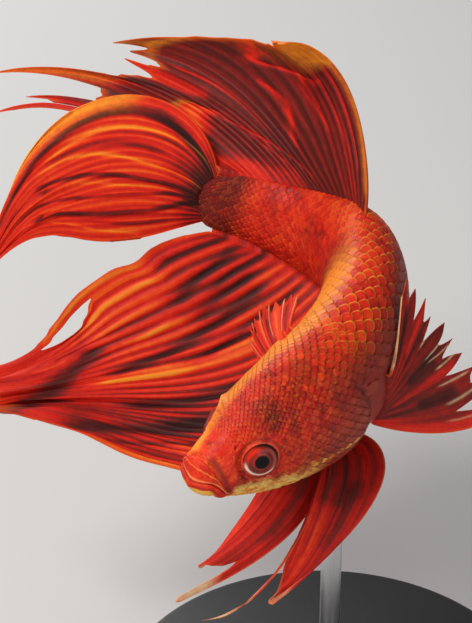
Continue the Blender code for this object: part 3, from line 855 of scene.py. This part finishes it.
# fins: sheets spread between guide rays; places across a fin and out along its rays,
# widths and shares filled are in hundredths
finPlain = {
    "lines": 300, "steps": 110, "strands": (), "slits": (), "glint": "finGold",
    "edges": ((0, 0, 100), (100, 0, 100)),     # place out, first side, last side
}
pectoralPlain = {"lines": 200, "steps": 40, "folds": 3, "foldHeight": 0.15, "glint": "cream"}
pelvicPlain = {"lines": 200, "steps": 60, "folds": 2, "foldHeight": 0.12, "glint": "cream",
               "rayCount": 7, "notch": 0, "stripe": (0.04, 0.9), "fringe": (0.97, 0.4), "stripes": 6}
finShapes = {
    "fin_dorsal": {
        # station and angle of the root, length, heading at root, middle and tip, then climb
        "rays": ((34, 90, 23, 80, 140, 260, 30, 60, -25),
                 (37.5, 90, 21, 110, 130, 195, 50, 45, 20),
                 (42, 90, 29, 130, 140, 185, 35, 25, -5),
                 (46, 90, 24, 135, 145, 170, 40, 20, 20),
                 (51, 90, 32, 130, 157, 185, 25, 15, -10),
                 (55.4, 90, 26, 150, 155, 190, 0, 12, -20)),
        # place across, share filled
        "margin": ((0, 92), (6, 92), (14, 88), (20, 84), (27, 83), (34, 86), (40, 95), (44, 86), (47, 93),
                   (51, 84), (57, 90), (60, 97), (63, 80), (69, 74), (75, 70), (79, 72), (86, 60),
                   (92, 60), (100, 62)),
        # place, half width, share filled, sharpness
        "strands": ((40, 3.5, 100, 1.3), (80, 5, 100, 1), (94, 2.2, 86, 1.2), (99, 3.5, 100, 1.1)),
        "slits": ((96.5, 74, 130, 1.5),),      # place, start, end, gap
        "rayCount": 26, "folds": 5, "foldHeight": 0.22, "notch": 0.025,
        # stripe: change of tone from ray to ray, partly the fin's own and partly painted shade, and its
        # end; fringe: start and amount
        "tone": 0.27, "stripe": (0.07, 0.8), "fringe": (0.93, 0.55), "stripes": 15,
        # change of tone, half width, course as places across and out; the strokes are partly the fin's
        # own streaks and partly painted shade in the hollows of folds and painted highlight on their
        # crests
        "strokes": (
            (0.32, 1.6, (24, 92), (28, 72), (27, 63), (17, 60)),
            (0.5, 4, (83, 25), (76, 36), (68, 45)), (-0.2, 1.2, (88, 22), (82, 34), (73, 46)),
            (0.3, 6.5, (60, 60), (61, 80), (58, 100)), (0.26, 1.2, (41, 8), (56, 27), (64, 38)),
            (0.24, 1.2, (38, 22), (32, 44), (34, 52)), (0.22, 1, (6, 20), (7, 42), (6, 66)),
            (0.2, 0.9, (13, 30), (14, 50), (13, 70)), (0.18, 1, (22, 35), (24, 50), (23, 62)),
            (0.22, 1.1, (48, 30), (47, 50), (50, 75)), (0.2, 1, (53, 10), (63, 30), (70, 50)),
            (0.26, 22, (82, -10), (80, 9)), (0.3, 3.5, (80, 58), (80, 100)),
            (0.3, 3.5, (97, 50), (97, 100)), (-0.22, 3, (70, 60), (74, 72)),
            (0.2, 2, (90, 10), (93, 30), (93, 50))),
        # gold strokes: gold markings, and painted highlight on the crests of folds
        "gold": (
            (1.6, 12, (0, 68), (5, 80), (9, 95), (13, 110)), (-0.25, 3, (9, 74), (10, 82), (10, 88)),
            (0.6, 1.4, (1, 10), (1, 50), (2, 70)), (0.75, 5, (36, 85), (28, 88), (20, 95), (10, 100)),
            (0.5, 2, (40, 86), (40, 100)), (0.5, 1, (87, 24), (80, 37), (70, 47)),
            (0.45, 3, (80, 62), (80, 100))),
    },
    "fin_anal": {
        "rays": ((25.5, -90, 42, 225, 165, 220, -70, 10, 20),
                 (34, -90, 44, 225, 165, 220, -65, 0, -10),
                 (43, -90, 40, 205, 185, 210, -40, -10, -10),
                 (54, -90, 33, 200, 190, 190, 5, -35, 5)),
        "margin": ((0, 97), (10, 93), (30, 90), (50, 92), (70, 90), (90, 90), (100, 93)),
        "strands": ((20, 3, 96.5, 1.2), (45, 3, 96.5, 1.2), (80, 3, 96.5, 1.2)),
        "edges": ((0, 0, 100), (22, 0, 100), (30, 0, 98.5), (36, 0, 100), (50, 2, 100), (64, 0, 95.5),
                  (76, 3, 90), (88, 0, 88), (100, 0, 94)),
        "slits": ((96, 49, 75, 4.5),),
        "rayCount": 28, "folds": 6, "foldHeight": 0.3, "notch": 0.02,
        "tone": 0.56, "stripe": (0.18, 0.6), "fringe": (0.93, 0.5), "stripes": 24,
        "strokes": (
            (-0.4, 1.3, (96, 0), (95, 10), (95, 22)), (-0.42, 1.4, (90, 3), (87, 15), (84, 28)),
            (-0.34, 1, (85, 0), (84, 10), (82, 18)), (-0.42, 1.5, (81, 8), (79, 18), (77, 28)),
            (-0.46, 1.8, (76, 10), (72, 30), (68, 45), (65, 57)),
            (-0.3, 1.2, (70, 5), (68, 20), (64, 34)), (-0.26, 1, (66, 10), (65, 30), (64, 40)),
            (0.26, 2.2, (92, 26), (92, 40), (92, 52)), (0.2, 1.2, (87, 30), (85, 42), (84, 50)),
            (0.24, 1.2, (79, 34), (76, 46)), (0.34, 1.6, (62, 20), (61, 40), (60, 60)),
            (0.24, 3, (61, 42), (60, 52), (59, 64)), (-0.18, 20, (30, 20), (28, 50), (25, 75)),
            (-0.45, 2.4, (53, 20), (48, 38), (43, 58)), (-0.3, 3, (42, 15), (38, 35), (32, 50)),
            (-0.38, 3.5, (35, 42), (22, 60), (10, 73)), (-0.26, 1.2, (26, 30), (18, 50), (8, 64)),
            (-0.42, 4.5, (80, 56), (72, 68), (42, 81), (14, 90)),
            (0.28, 1.8, (83, 52), (82, 62), (82, 74)), (0.16, 4, (13, 40), (20, 55), (24, 68)),
            (0.3, 1.8, (2, 48), (3, 58), (4, 70)), (-0.24, 1, (8, 20), (10, 40), (9, 56)),
            (0.3, 1.6, (98, 26), (98, 45), (98, 66))),
        "gold": (
            (0.35, 1, (0, 42), (1, 56), (1, 70)), (0.15, 0.6, (61.5, 26), (60.5, 50))),
    },
    "fin_caudal": {
        # here a height over the spine takes the place of the root's angle
        "rays": ((55.3, 2.9, 43, 120, 215, 275, 75, -30, -50),
                 (55.3, 1, 37, 155, 215, 260, 55, -25, -50),
                 (55.3, -1, 35, 180, 215, 245, 35, -20, -50),
                 (55.3, -2.9, 33, 210, 210, 245, -10, 0, -70)),
        "margin": ((0, 92), (10, 95), (30, 94), (50, 95), (70, 93), (100, 93)),
        "strands": ((10, 3, 99, 1.2), (50, 3, 99, 1.2), (70, 3, 99, 1.2)),
        "edges": ((0, 0, 96), (35, 0, 100), (68, 0, 82), (85, 0, 92), (100, 0, 98)),
        "rayCount": 18, "folds": 5, "foldHeight": 0.3, "notch": 0.02,
        "tone": 0.66, "stripe": (0.08, 0.8), "fringe": (0.94, 0.5), "stripes": 16,
        "strokes": (
            (-0.5, 3, (16, 3), (14, 12), (12, 20), (11, 30), (13, 40), (17, 50), (22, 60), (26, 70),
             (28, 80)),
            (-0.25, 5, (20, 0), (16, 10), (10, 22)), (0.3, 4, (2, 40), (3, 62), (4, 80)),
            (0.3, 2.2, (20, 15), (22, 24), (22, 33), (23, 42), (25, 50)),
            (-0.2, 1.4, (24, 14), (25, 26), (23, 38), (21, 50)),
            (-0.28, 2.2, (35, 18), (31, 36), (30, 50)),
            (0.34, 1.8, (47, 4), (48, 13), (46, 23), (40, 32), (34, 42), (33, 52)),
            (-0.44, 1.4, (60, 6), (61, 20), (57, 30), (50, 42), (44, 55)),
            (-0.32, 1, (64, 3), (72, 20), (71, 33), (64, 48), (60, 62)),
            (-0.46, 1.6, (66, 1), (80, 12), (83, 25), (80, 40), (75, 52)),
            (0.2, 1.2, (96, 22), (92, 34), (84, 48)), (-0.2, 0.8, (90, 10), (90, 25), (86, 36)),
            (0.2, 1.4, (66, 10), (66, 25), (56, 40)), (-0.24, 1.2, (52, 50), (46, 65), (42, 85)),
            # the last two strokes here are painted shade across the fin's root, where it leaves the tail
            # stock
            (-0.2, 1, (88, 60), (82, 75), (80, 90)), (-0.4, 60, (50, -10), (50, 6)),
            (-0.22, 30, (45, 0), (45, 13))),
        "gold": (
            (1.1, 7.5, (0, 30), (3, 60), (6, 95)), (0.4, 0.8, (17, 12), (15, 6)),
            (0.4, 0.7, (20.5, 16), (22.5, 30), (23.5, 44)),
            (0.45, 0.7, (47, 4), (47.5, 20), (40, 33), (35, 42))),
    },
    "fin_pectoral_left": {
        **pectoralPlain,
        "rays": ((19.4, 22, 9.4, 68, 78, 84, 40, 55, 60),
                 (19.3, 0, 9.6, 35, 45, 50, 40, 25, 25),
                 (19.1, -24, 12.5, 5, 20, 30, -20, -10, 15)),
        "margin": ((0, 100), (10, 94), (22, 100), (32, 90), (45, 98), (60, 92), (80, 100), (100, 96)),
        "rayCount": 10, "notch": 0.34, "tone": 0.34, "stripe": (0.05, 0.9), "fringe": (0.97, 0.3),
        "stripes": 9,
        "strokes": (
            (-0.24, 3, (10, 20), (10, 70)), (-0.2, 3, (34, 30), (36, 70)),
            (-0.26, 5, (56, 30), (55, 65)), (-0.24, 4, (80, 35), (80, 70)),
            (0.18, 6, (95, 0), (97, 50), (97, 90)), (0.16, 4, (25, 40), (25, 90)),
            (0.14, 4, (68, 10), (68, 80))),
        "gold": (
            # the first stroke is a painted highlight along the leading ray, seen edge-on
            (1.1, 1.2, (0, 8), (0, 90)), (0.9, 0.5, (40, 60), (39, 96)),
            (0.9, 0.5, (51, 58), (50, 90)), (0.7, 0.4, (55, 60), (56, 85)),
            (0.8, 0.5, (63, 64), (62, 90)), (0.6, 0.5, (74, 60), (75, 88)),
            (0.7, 0.5, (85, 62), (83, 90)), (0.4, 0.4, (94, 60), (95, 95))),
    },
    "fin_pectoral_right": {
        **pectoralPlain,
        "rays": ((19.4, 158, 8, 90, 80, 75, -25, 0, 10),
                 (19.3, 180, 9, 110, 100, 90, -20, 5, 15),
                 (19.1, 204, 7.5, 115, 115, 115, -15, 5, 20)),
        "margin": ((0, 94), (20, 100), (35, 92), (50, 100), (70, 93), (85, 100), (100, 90)),
        "rayCount": 11, "notch": 0.28, "tone": 0.58, "stripe": (0.05, 0.9), "fringe": (0.94, 0.4),
        "stripes": 10,
        "strokes": (
            (-0.22, 3, (15, 20), (15, 80)), (-0.2, 4, (45, 20), (45, 70)),
            (-0.2, 3, (75, 20), (75, 80)), (0.2, 3, (30, 10), (30, 90)), (0.2, 3, (62, 10), (62, 90))),
        "gold": (
            (0.6, 0.9, (4, 30), (4, 98)), (0.6, 0.9, (22, 30), (23, 98)),
            (0.5, 0.9, (40, 30), (41, 98)), (0.6, 0.9, (58, 30), (59, 98)),
            (0.5, 0.9, (77, 30), (77, 98)), (0.5, 0.9, (95, 30), (96, 98))),
    },
    "fin_pelvic_left": {
        **pelvicPlain,
        "rays": ((17.8, -76, 21.4, 273, 223, 178, -10, -45, -5),
                 (18.3, -75, 16, 275, 235, 210, 5, -50, -45),
                 (19.2, -73, 19, 315, 225, 200, 5, -50, -20),
                 (20.4, -70, 23, 370, 220, 215, 10, -40, -20)),
        "margin": ((0, 98.5), (3.5, 100), (7.5, 98.5), (9.5, 90), (10.5, 44), (16, 58), (24, 74),
                   (34, 86), (60, 95), (80, 99), (100, 100)),
        "tone": 0.52,
        "strokes": (
            (-0.2, 25, (50, 0), (55, 40)), (-0.14, 10, (75, 30), (70, 60)),
            (0.1, 10, (50, 50), (60, 90)), (0.14, 4, (30, 30), (40, 80)),
            (-0.14, 1.5, (42, 20), (50, 70)), (-0.12, 1.2, (64, 20), (64, 80)),
            (0.12, 5, (5, 50), (4, 90))),
        "gold": (
            (0.9, 10, (4, 84), (4, 110)), (0.5, 30, (80, 93), (80, 110)),
            (0.4, 1.4, (100, 10), (100, 95)), (0.35, 1, (0, 30), (0, 90)),
            (0.35, 1, (11, 44), (16, 62), (26, 90))),
    },
    "fin_pelvic_right": {
        **pelvicPlain,
        "rays": ((17.4, -104, 15, 220, 230, 210, -20, -35, -35),
                 (18.3, -105, 17, 265, 225, 190, -20, -30, -25),
                 (19.4, -107, 24, 320, 212, 195, -30, -32, -20)),
        "margin": ((0, 97), (10, 100), (30, 100), (50, 96), (62, 90), (74, 82), (84, 76), (86, 80),
                   (88, 95), (93, 100), (97, 100), (100, 98)),
        "edges": ((0, 0, 100), (35, 0, 100), (55, 3, 100), (75, 0, 100), (100, 0, 100)),
        "tone": 0.5,
        "strokes": (
            (-0.18, 25, (40, 0), (45, 35)), (-0.12, 8, (75, 20), (80, 60)),
            (0.16, 12, (20, 50), (20, 95)), (0.14, 1.2, (50, 40), (45, 75)),
            (-0.14, 1.2, (32, 30), (30, 80)), (0.1, 6, (85, 60), (85, 95))),
        "gold": (
            (0.9, 10, (92, 85), (92, 110)), (0.4, 15, (10, 96), (10, 110)),
            (0.4, 1.4, (0, 10), (0, 95)), (0.4, 1.4, (100, 20), (100, 95))),
    },
}
finRelief = {
    "edge": 0.035, "root": 0.11, "ray": 0.06, "stroke": 0.42, "gold": 0.1,
    "rootLift": 0.3, "rootDepth": 0.9, "softening": 0.06, "slitFade": 0.05,
}


def rootPoints(name, stations, angles, lift):
    if name == "fin_caudal":
        middle, _, up, _ = frameAt(stations + min(lift, 0) * 2)
        return middle + angles[..., None] * up
    return skinPoints(stations, angles, lift)


def fillOf(shape, v):
    # how far each line across the fin is filled, as a share of its ray
    places, shares = np.array(shape["margin"]).T / 100
    fill = through(places, shares, v)
    away = np.abs(2 * (shape["rayCount"] * v % 1) - 1)
    fill = fill * (1 - shape["notch"] * away ** 0.9 * (0.7 + 0.3 * np.sin(v * 37.0)))
    for where, width, reach, point in shape["strands"]:
        spike = 1 - np.clip(np.abs(v - where / 100) / (width / 100), 0, 1) ** point
        fill = fill + (np.maximum(reach / 100, fill) - fill) * spike
    return np.minimum(fill, 1)


def finSheet(name, shape):
    rays = np.array(shape["rays"], float)
    lifts = (0.0 if name == "fin_caudal" else finRelief["rootLift"], -finRelief["rootDepth"])
    keys = np.linspace(0, 1, len(rays))
    v = np.linspace(0, 1, shape["lines"] + 1)

    def spread(rows):
        return np.stack([through(keys, column, v) for column in rows.T], -1)

    roots, deep = [spread(rootPoints(name, rays[:, 0], rays[:, 1], lift)) for lift in lifts]
    table = spread(rays)
    fill = fillOf(shape, v)
    steps = shape["steps"]
    t = np.linspace(0, 1, steps)[None, :] * fill[:, None]
    shares = (1 - t) * (1 - 2 * t), 4 * t * (1 - t), t * (2 * t - 1)
    turn, rise = [sum(table[:, k + i:k + i + 1] * shares[i] for i in range(3)) for k in (3, 6)]
    ways = directions(turn, rise)
    lengths = (table[:, 2] * fill / (steps - 1))[:, None, None]
    points = np.zeros((len(v), steps + 1, 3))
    points[:, 2:] = np.cumsum((ways[:, 1:] + ways[:, :-1]) / 2 * lengths, 1)
    points[:, 1:] += roots[:, None]
    points[:, 0] = deep
    return v, np.concatenate([np.zeros((len(v), 1)), t], 1), points


def respread(shape, v, t, points):
    # draws the sides of the sheet in and opens its slits
    keys, first, last = np.array(shape["edges"]).T / 100
    soft = finRelief["softening"]
    reach = np.broadcast_to(np.linspace(0, 1, t.shape[1]), t.shape)
    inset, drawn = through(keys, first, reach), 1 - through(keys, last, reach)
    place = v[:, None]
    across = (place + inset * np.exp(-place / (soft + 2.5 * inset))
              - drawn * np.exp((place - 1) / (soft + 2.5 * drawn)))
    for slit in shape["slits"]:
        where, start, end, gap = np.array(slit) / 100
        opened = gap * np.clip(1 - (2 * (reach - start) / (end - start) - 1) ** 2, 0, 1) ** 1.2
        side = np.exp((place - where) / finRelief["slitFade"])
        across = across - opened * side * (place < where + 0.5 / shape["lines"])
    place = np.clip(across, 0, 1) * (len(v) - 1)
    i = np.minimum(place.astype(int), len(v) - 2)
    share = (place - i)[..., None]
    j = np.arange(points.shape[1])[None, :]
    return points[i, j] * (1 - share) + points[i + 1, j] * share


def sheetNormals(points):
    return unit(np.cross(np.gradient(points, axis=0), np.gradient(points, axis=1)))


def brushed(strokes, across, t):
    # sum of soft strokes that run outward along the fin: its own streaks, painted shade in the hollows of
    # its folds and painted highlight on their crests
    total = np.zeros_like(t)
    for amount, width, *course in strokes:
        places, outs = np.array(course).T / 100
        if outs[0] > outs[-1]:
            places, outs = places[::-1], outs[::-1]
        at = np.clip(t, outs[0], outs[-1])
        middle = through(outs, places, at)
        slope = (through(outs, places, at + 0.01) - through(outs, places, at - 0.01)) / 0.02
        width = width / 100 * np.sqrt(1 + slope ** 2)
        ends = smooth(outs[0] - 0.05, outs[0] + 0.03, t) * smooth(outs[-1] + 0.05, outs[-1] - 0.03, t)
        total = total + amount * bump(across, middle, width) * ends
    return total


def foldsOf(shape, across, t):
    # waves of the whole sheet, wider towards its margin
    n = shape["folds"]
    waves = np.sin(math.tau * n * across + 1.3 * n)
    waves = waves + 0.5 * np.sin(math.tau * 1.7 * n * across + 4 * t + n)
    return waves * shape["foldHeight"] * smooth(0.05, 0.9, t) / 1.5


def stripesOf(shape, across, t):
    # change of tone from ray to ray, partly the fin's own and partly painted shade
    strength, end = shape["stripe"]
    window = smooth(-0.05, 0.05, across) * smooth(1.05, 0.95, across)
    wave = np.cos(math.tau * (shape["rayCount"] * across + 0.3 * np.sin(3 * t)))
    return strength * wave * window * smooth(end + 0.12, end - 0.12, t) * smooth(-0.02, 0.05, t)


def ridgesOf(shape, across, t):
    # single rays that split in two on their way out
    single, double = [np.abs(np.cos(math.pi * count * shape["rayCount"] * across)) ** 3
                      for count in (1, 2)]
    split = smooth(0.3, 0.6, t)
    return single * (1 - split) + double * split * 0.8


def makeFin(name, shape):
    relief = finRelief
    v, t, points = finSheet(name, shape)
    points = respread(shape, v, t, points)
    across = np.broadcast_to(v[:, None], t.shape)
    # tone and gold hold the fin's own streaks and the painted shade and highlight of its folds; the same
    # strokes also raise the sheet into folds
    tone = brushed(shape["strokes"], across, t) + stripesOf(shape, across, t)
    gold = brushed(shape["gold"], across, t)
    swell = (tone + np.clip(gold, 0, 1) * relief["gold"]) * relief["stroke"] * smooth(0.0, 0.2, t)
    fold = foldsOf(shape, across, t) + swell
    points = points + sheetNormals(points) * fold[..., None]
    normal = sheetNormals(points)
    ridge = ridgesOf(shape, across, t)
    half = relief["edge"] + (relief["root"] - relief["edge"]) * smooth(0.5, 0, t)
    half = half + relief["ray"] * ridge * (1 - 0.7 * t)
    slits = [(where / 100, start / 100, end / 100) for where, start, end, _ in shape["slits"]]
    mesh = meshOf(gridMesh(shape["lines"], shape["steps"], True, slits), name)
    i = np.rint(read(mesh, "across") * shape["lines"]).astype(int)
    j = np.rint(read(mesh, "out") * shape["steps"]).astype(int)
    face = read(mesh, "face")
    setPoints(mesh, points[i, j] + normal[i, j] * (half[i, j] * face)[:, None])
    for key, values in (("out", t), ("ridge", ridge), ("reach", t / t[:, -1:]),
                        ("tone", shape["tone"] + tone), ("gold", np.clip(gold, 0, 1))):
        store(mesh, key, values[i, j])
    bm = bmesh.new()
    bm.from_mesh(mesh)
    turnOut(bm, mesh)
    material = finFinish(name.replace("fin_", "membrane_"), shape)
    fin = showMesh(name.replace("fin_", "finSheet_"), mesh, material)
    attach(fin, "root")
    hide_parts(name)


def finFinish(name, shape):
    finish = Finish(name, {"Coat Roughness": 0.3, "Coat Weight": 0.03, "Specular IOR Level": 0.16,
                           "Subsurface Weight": 0.12, "Subsurface Scale": 0.0008})
    across, out, ridge, reach, tone, gold = [
        finish.attribute(mark) for mark in ("across", "out", "ridge", "reach", "tone", "gold")]
    stripes = shape["stripes"]
    bands = finish.noise(1.0, 4.0, finish.stretched(across * stripes, out * 1.3, 0.5))
    fibres = finish.noise(1.0, 5.0, finish.stretched(across * stripes * 9, out * 3.0, 2.0))
    grain = finish.noise(1600.0, 3.0)
    value = tone + (bands - 0.5) * 0.5 + (fibres - 0.5) * 0.36 + (grain - 0.5) * 0.2 + ridge * 0.05
    finish.ramp(value, (0.0, "umber"), (0.22, "maroon"), (0.38, "wine"), (0.52, "red"),
                (0.68, "brightRed"), (0.86, "orange"), (1.0, "amber"))
    finish.lay(gold * (0.85 + (grain - 0.5) * 1.2 + (fibres - 0.5)), shape["glint"])
    fringe, amount = shape["fringe"]
    finish.lay(reach.step(fringe, 1.0) * amount, "orange")
    sides = finish.math("MAXIMUM", 1 - across.step(0.0, 0.016), across.step(0.984, 1.0))
    finish.lay(sides * 0.45, "orange")
    normal = finish.relief(fibres + bands * 0.4 + grain * 0.3, 0.00008, 0.6)
    return finish.wear(finish.colour, roughness=0.5 + fibres * 0.2, normal=normal)


for name, shape in finShapes.items():
    makeFin(name, {**finPlain, **shape})
print("fins made")

# display stand
standShape = {
    "baseRadius": 21.0, "baseHeight": 3.5, "round": 0.8, "footChamfer": 0.4, "cove": 0.8,
    "bossRadius": 4.0, "bossTop": 2.6, "bossHeight": 2.5, "bossRound": 0.5, "steps": 128,
    "bore": 1.1, "boreChamfer": 0.15,
    "rodRadius": 1.0, "rodFoot": 1.3, "rodChamfer": 0.2, "rodSteps": 48, "sharpFrom": 40,
}


def lathe(outline, steps):
    bm = bmesh.new()
    points = [bm.verts.new((r * mm, 0, z * mm)) for r, z in outline]
    edges = [bm.edges.new(pair) for pair in zip(points, points[1:])]
    bmesh.ops.spin(bm, geom=points + edges, axis=(0, 0, 1), cent=(0, 0, 0),
                   angle=math.tau, steps=steps, use_merge=True)
    bmesh.ops.remove_doubles(bm, verts=bm.verts, dist=0.000001)
    bmesh.ops.recalc_face_normals(bm, faces=bm.faces)
    return bm


def arc(centre, radius, first, last, count):
    return [(centre[0] + radius * math.cos(math.radians(a)),
             centre[1] + radius * math.sin(math.radians(a)))
            for a in np.linspace(first, last, count)]


def baseFinish():
    finish = Finish("satinBase", {"Coat Weight": 0.2, "Coat Roughness": 0.3})
    grain = finish.noise(2200.0, 3.0)
    smudge = finish.noise(90.0, 3.0)
    return finish.wear(finish.mix(smudge, (0.012, 0.012, 0.013), (0.02, 0.019, 0.019)),
                       roughness=0.34 + smudge * 0.14,
                       normal=finish.relief(grain, 0.00002, 0.5))


def rodFinish():
    finish = Finish("drawnSteel", {"Metallic": 1.0, "Anisotropic": 0.5})
    stretched = finish.node("Mapping", {}, {"Vector": finish.place(), "Scale": (1.0, 1.0, 0.02)})
    drawn = finish.noise(9000.0, 2.0, stretched)
    return finish.wear(finish.mix(drawn, (0.5, 0.5, 0.52), (0.68, 0.68, 0.69)),
                       roughness=0.24 + drawn * 0.16,
                       normal=finish.relief(drawn, 0.00001, 0.4))


def showTurned(name, outline, steps, material):
    piece = showMesh(name, meshOf(lathe(outline, steps), name), material)
    piece.data.set_sharp_from_angle(angle=math.radians(standShape["sharpFrom"]))
    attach(piece, "root")
    return piece


def makeStand():
    shape = standShape
    radius, height, r = shape["baseRadius"], shape["baseHeight"], shape["round"]
    top = height + shape["bossHeight"]
    chamfer, cove, crown = shape["footChamfer"], shape["cove"], shape["bossRound"]
    bore, notch = shape["bore"], shape["boreChamfer"]
    outline = [(0, 0), (radius - chamfer, 0), (radius, chamfer)]
    outline += arc((radius - r, height - r), r, 0, 90, 8)
    outline += arc((shape["bossRadius"] + cove, height + cove), cove, 270, 195, 7)
    outline += arc((shape["bossTop"] - crown, top - crown), crown, 20, 90, 6)
    outline += [(bore + notch, top), (bore, top - notch), (bore, bore), (0, bore)]
    base = showTurned("standBase", outline, shape["steps"], baseFinish())
    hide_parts("stand_base")
    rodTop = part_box("stand_rod")[1][2] / mm
    r, foot, chamfer = shape["rodRadius"], shape["rodFoot"], shape["rodChamfer"]
    outline = [(0, foot), (r, foot), (r, rodTop - chamfer), (r - chamfer, rodTop), (0, rodTop)]
    rod = showTurned("standRod", outline, shape["rodSteps"], rodFinish())
    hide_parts("stand_rod")


makeStand()
print("stand made")

# floor, light and camera
studio = {
    "target": (-0.0092, -0.0044, 0.048), "distance": 0.17, "elevation": 27.0,
    "imageHeight": 623, "perMillimetre": 11.4, "sensor": 36.0, "nearest": 0.01, "farthest": 20.0,
    "floorHalf": 3.0, "floorTones": ((0.64, 0.63, 0.62), (0.67, 0.66, 0.65)),
    # place, size, power and colour
    "lights": {"key": ((-0.25, -0.2, 0.42), 0.22, 1.95, (1.0, 0.97, 0.93)),
               "fill": ((0.22, -0.4, 0.05), 0.3, 0.75, (1.0, 0.98, 0.96)),
               "rim": ((-0.2, 0.35, 0.3), 0.2, 1.1, (1.0, 1.0, 1.0))},
    "sky": (0.9, 0.92, 0.95, 1.0), "skyStrength": 0.2,
}


def makeFloor():
    bm = bmesh.new()
    bmesh.ops.create_grid(bm, x_segments=4, y_segments=4, size=studio["floorHalf"])
    finish = Finish("paleFloor", {"Roughness": 0.9})
    finish.wear(finish.mix(finish.noise(6.0, 2.0), *studio["floorTones"]))
    floor = showMesh("floor", meshOf(bm, "floor"), finish.material)


def makeLight(name, place, size, power, colour):
    light = bpy.data.lights.new(name, 'AREA')
    light.size, light.energy, light.color = size, power, colour
    lamp = addObject(name, light)
    lamp.location = place
    aim = Vector(studio["target"]) - Vector(place)
    lamp.rotation_euler = aim.to_track_quat('-Z', 'Y').to_euler()


def makeCamera():
    camera = bpy.data.cameras.new("camera")
    camera.sensor_width = studio["sensor"]
    reach = studio["distance"]
    viewHeight = studio["imageHeight"] / studio["perMillimetre"] * mm
    camera.lens = studio["sensor"] * reach / viewHeight
    camera.clip_start, camera.clip_end = studio["nearest"], studio["farthest"]
    holder = addObject("camera", camera)
    tilt = math.radians(studio["elevation"])
    away = Vector((0, -math.cos(tilt), math.sin(tilt)))
    holder.location = Vector(studio["target"]) + away * reach
    holder.rotation_euler = (-away).to_track_quat('-Z', 'Y').to_euler()
    bpy.context.scene.camera = holder


def makeSky():
    world = bpy.data.worlds.new("studio")
    world.use_nodes = True
    background = world.node_tree.nodes["Background"]
    background.inputs["Color"].default_value = studio["sky"]
    background.inputs["Strength"].default_value = studio["skyStrength"]
    bpy.context.scene.world = world
    bpy.context.scene.view_settings.view_transform = 'Standard'


makeFloor()
makeCamera()
for name, light in studio["lights"].items():
    makeLight(name, *light)
makeSky()
print("studio made")
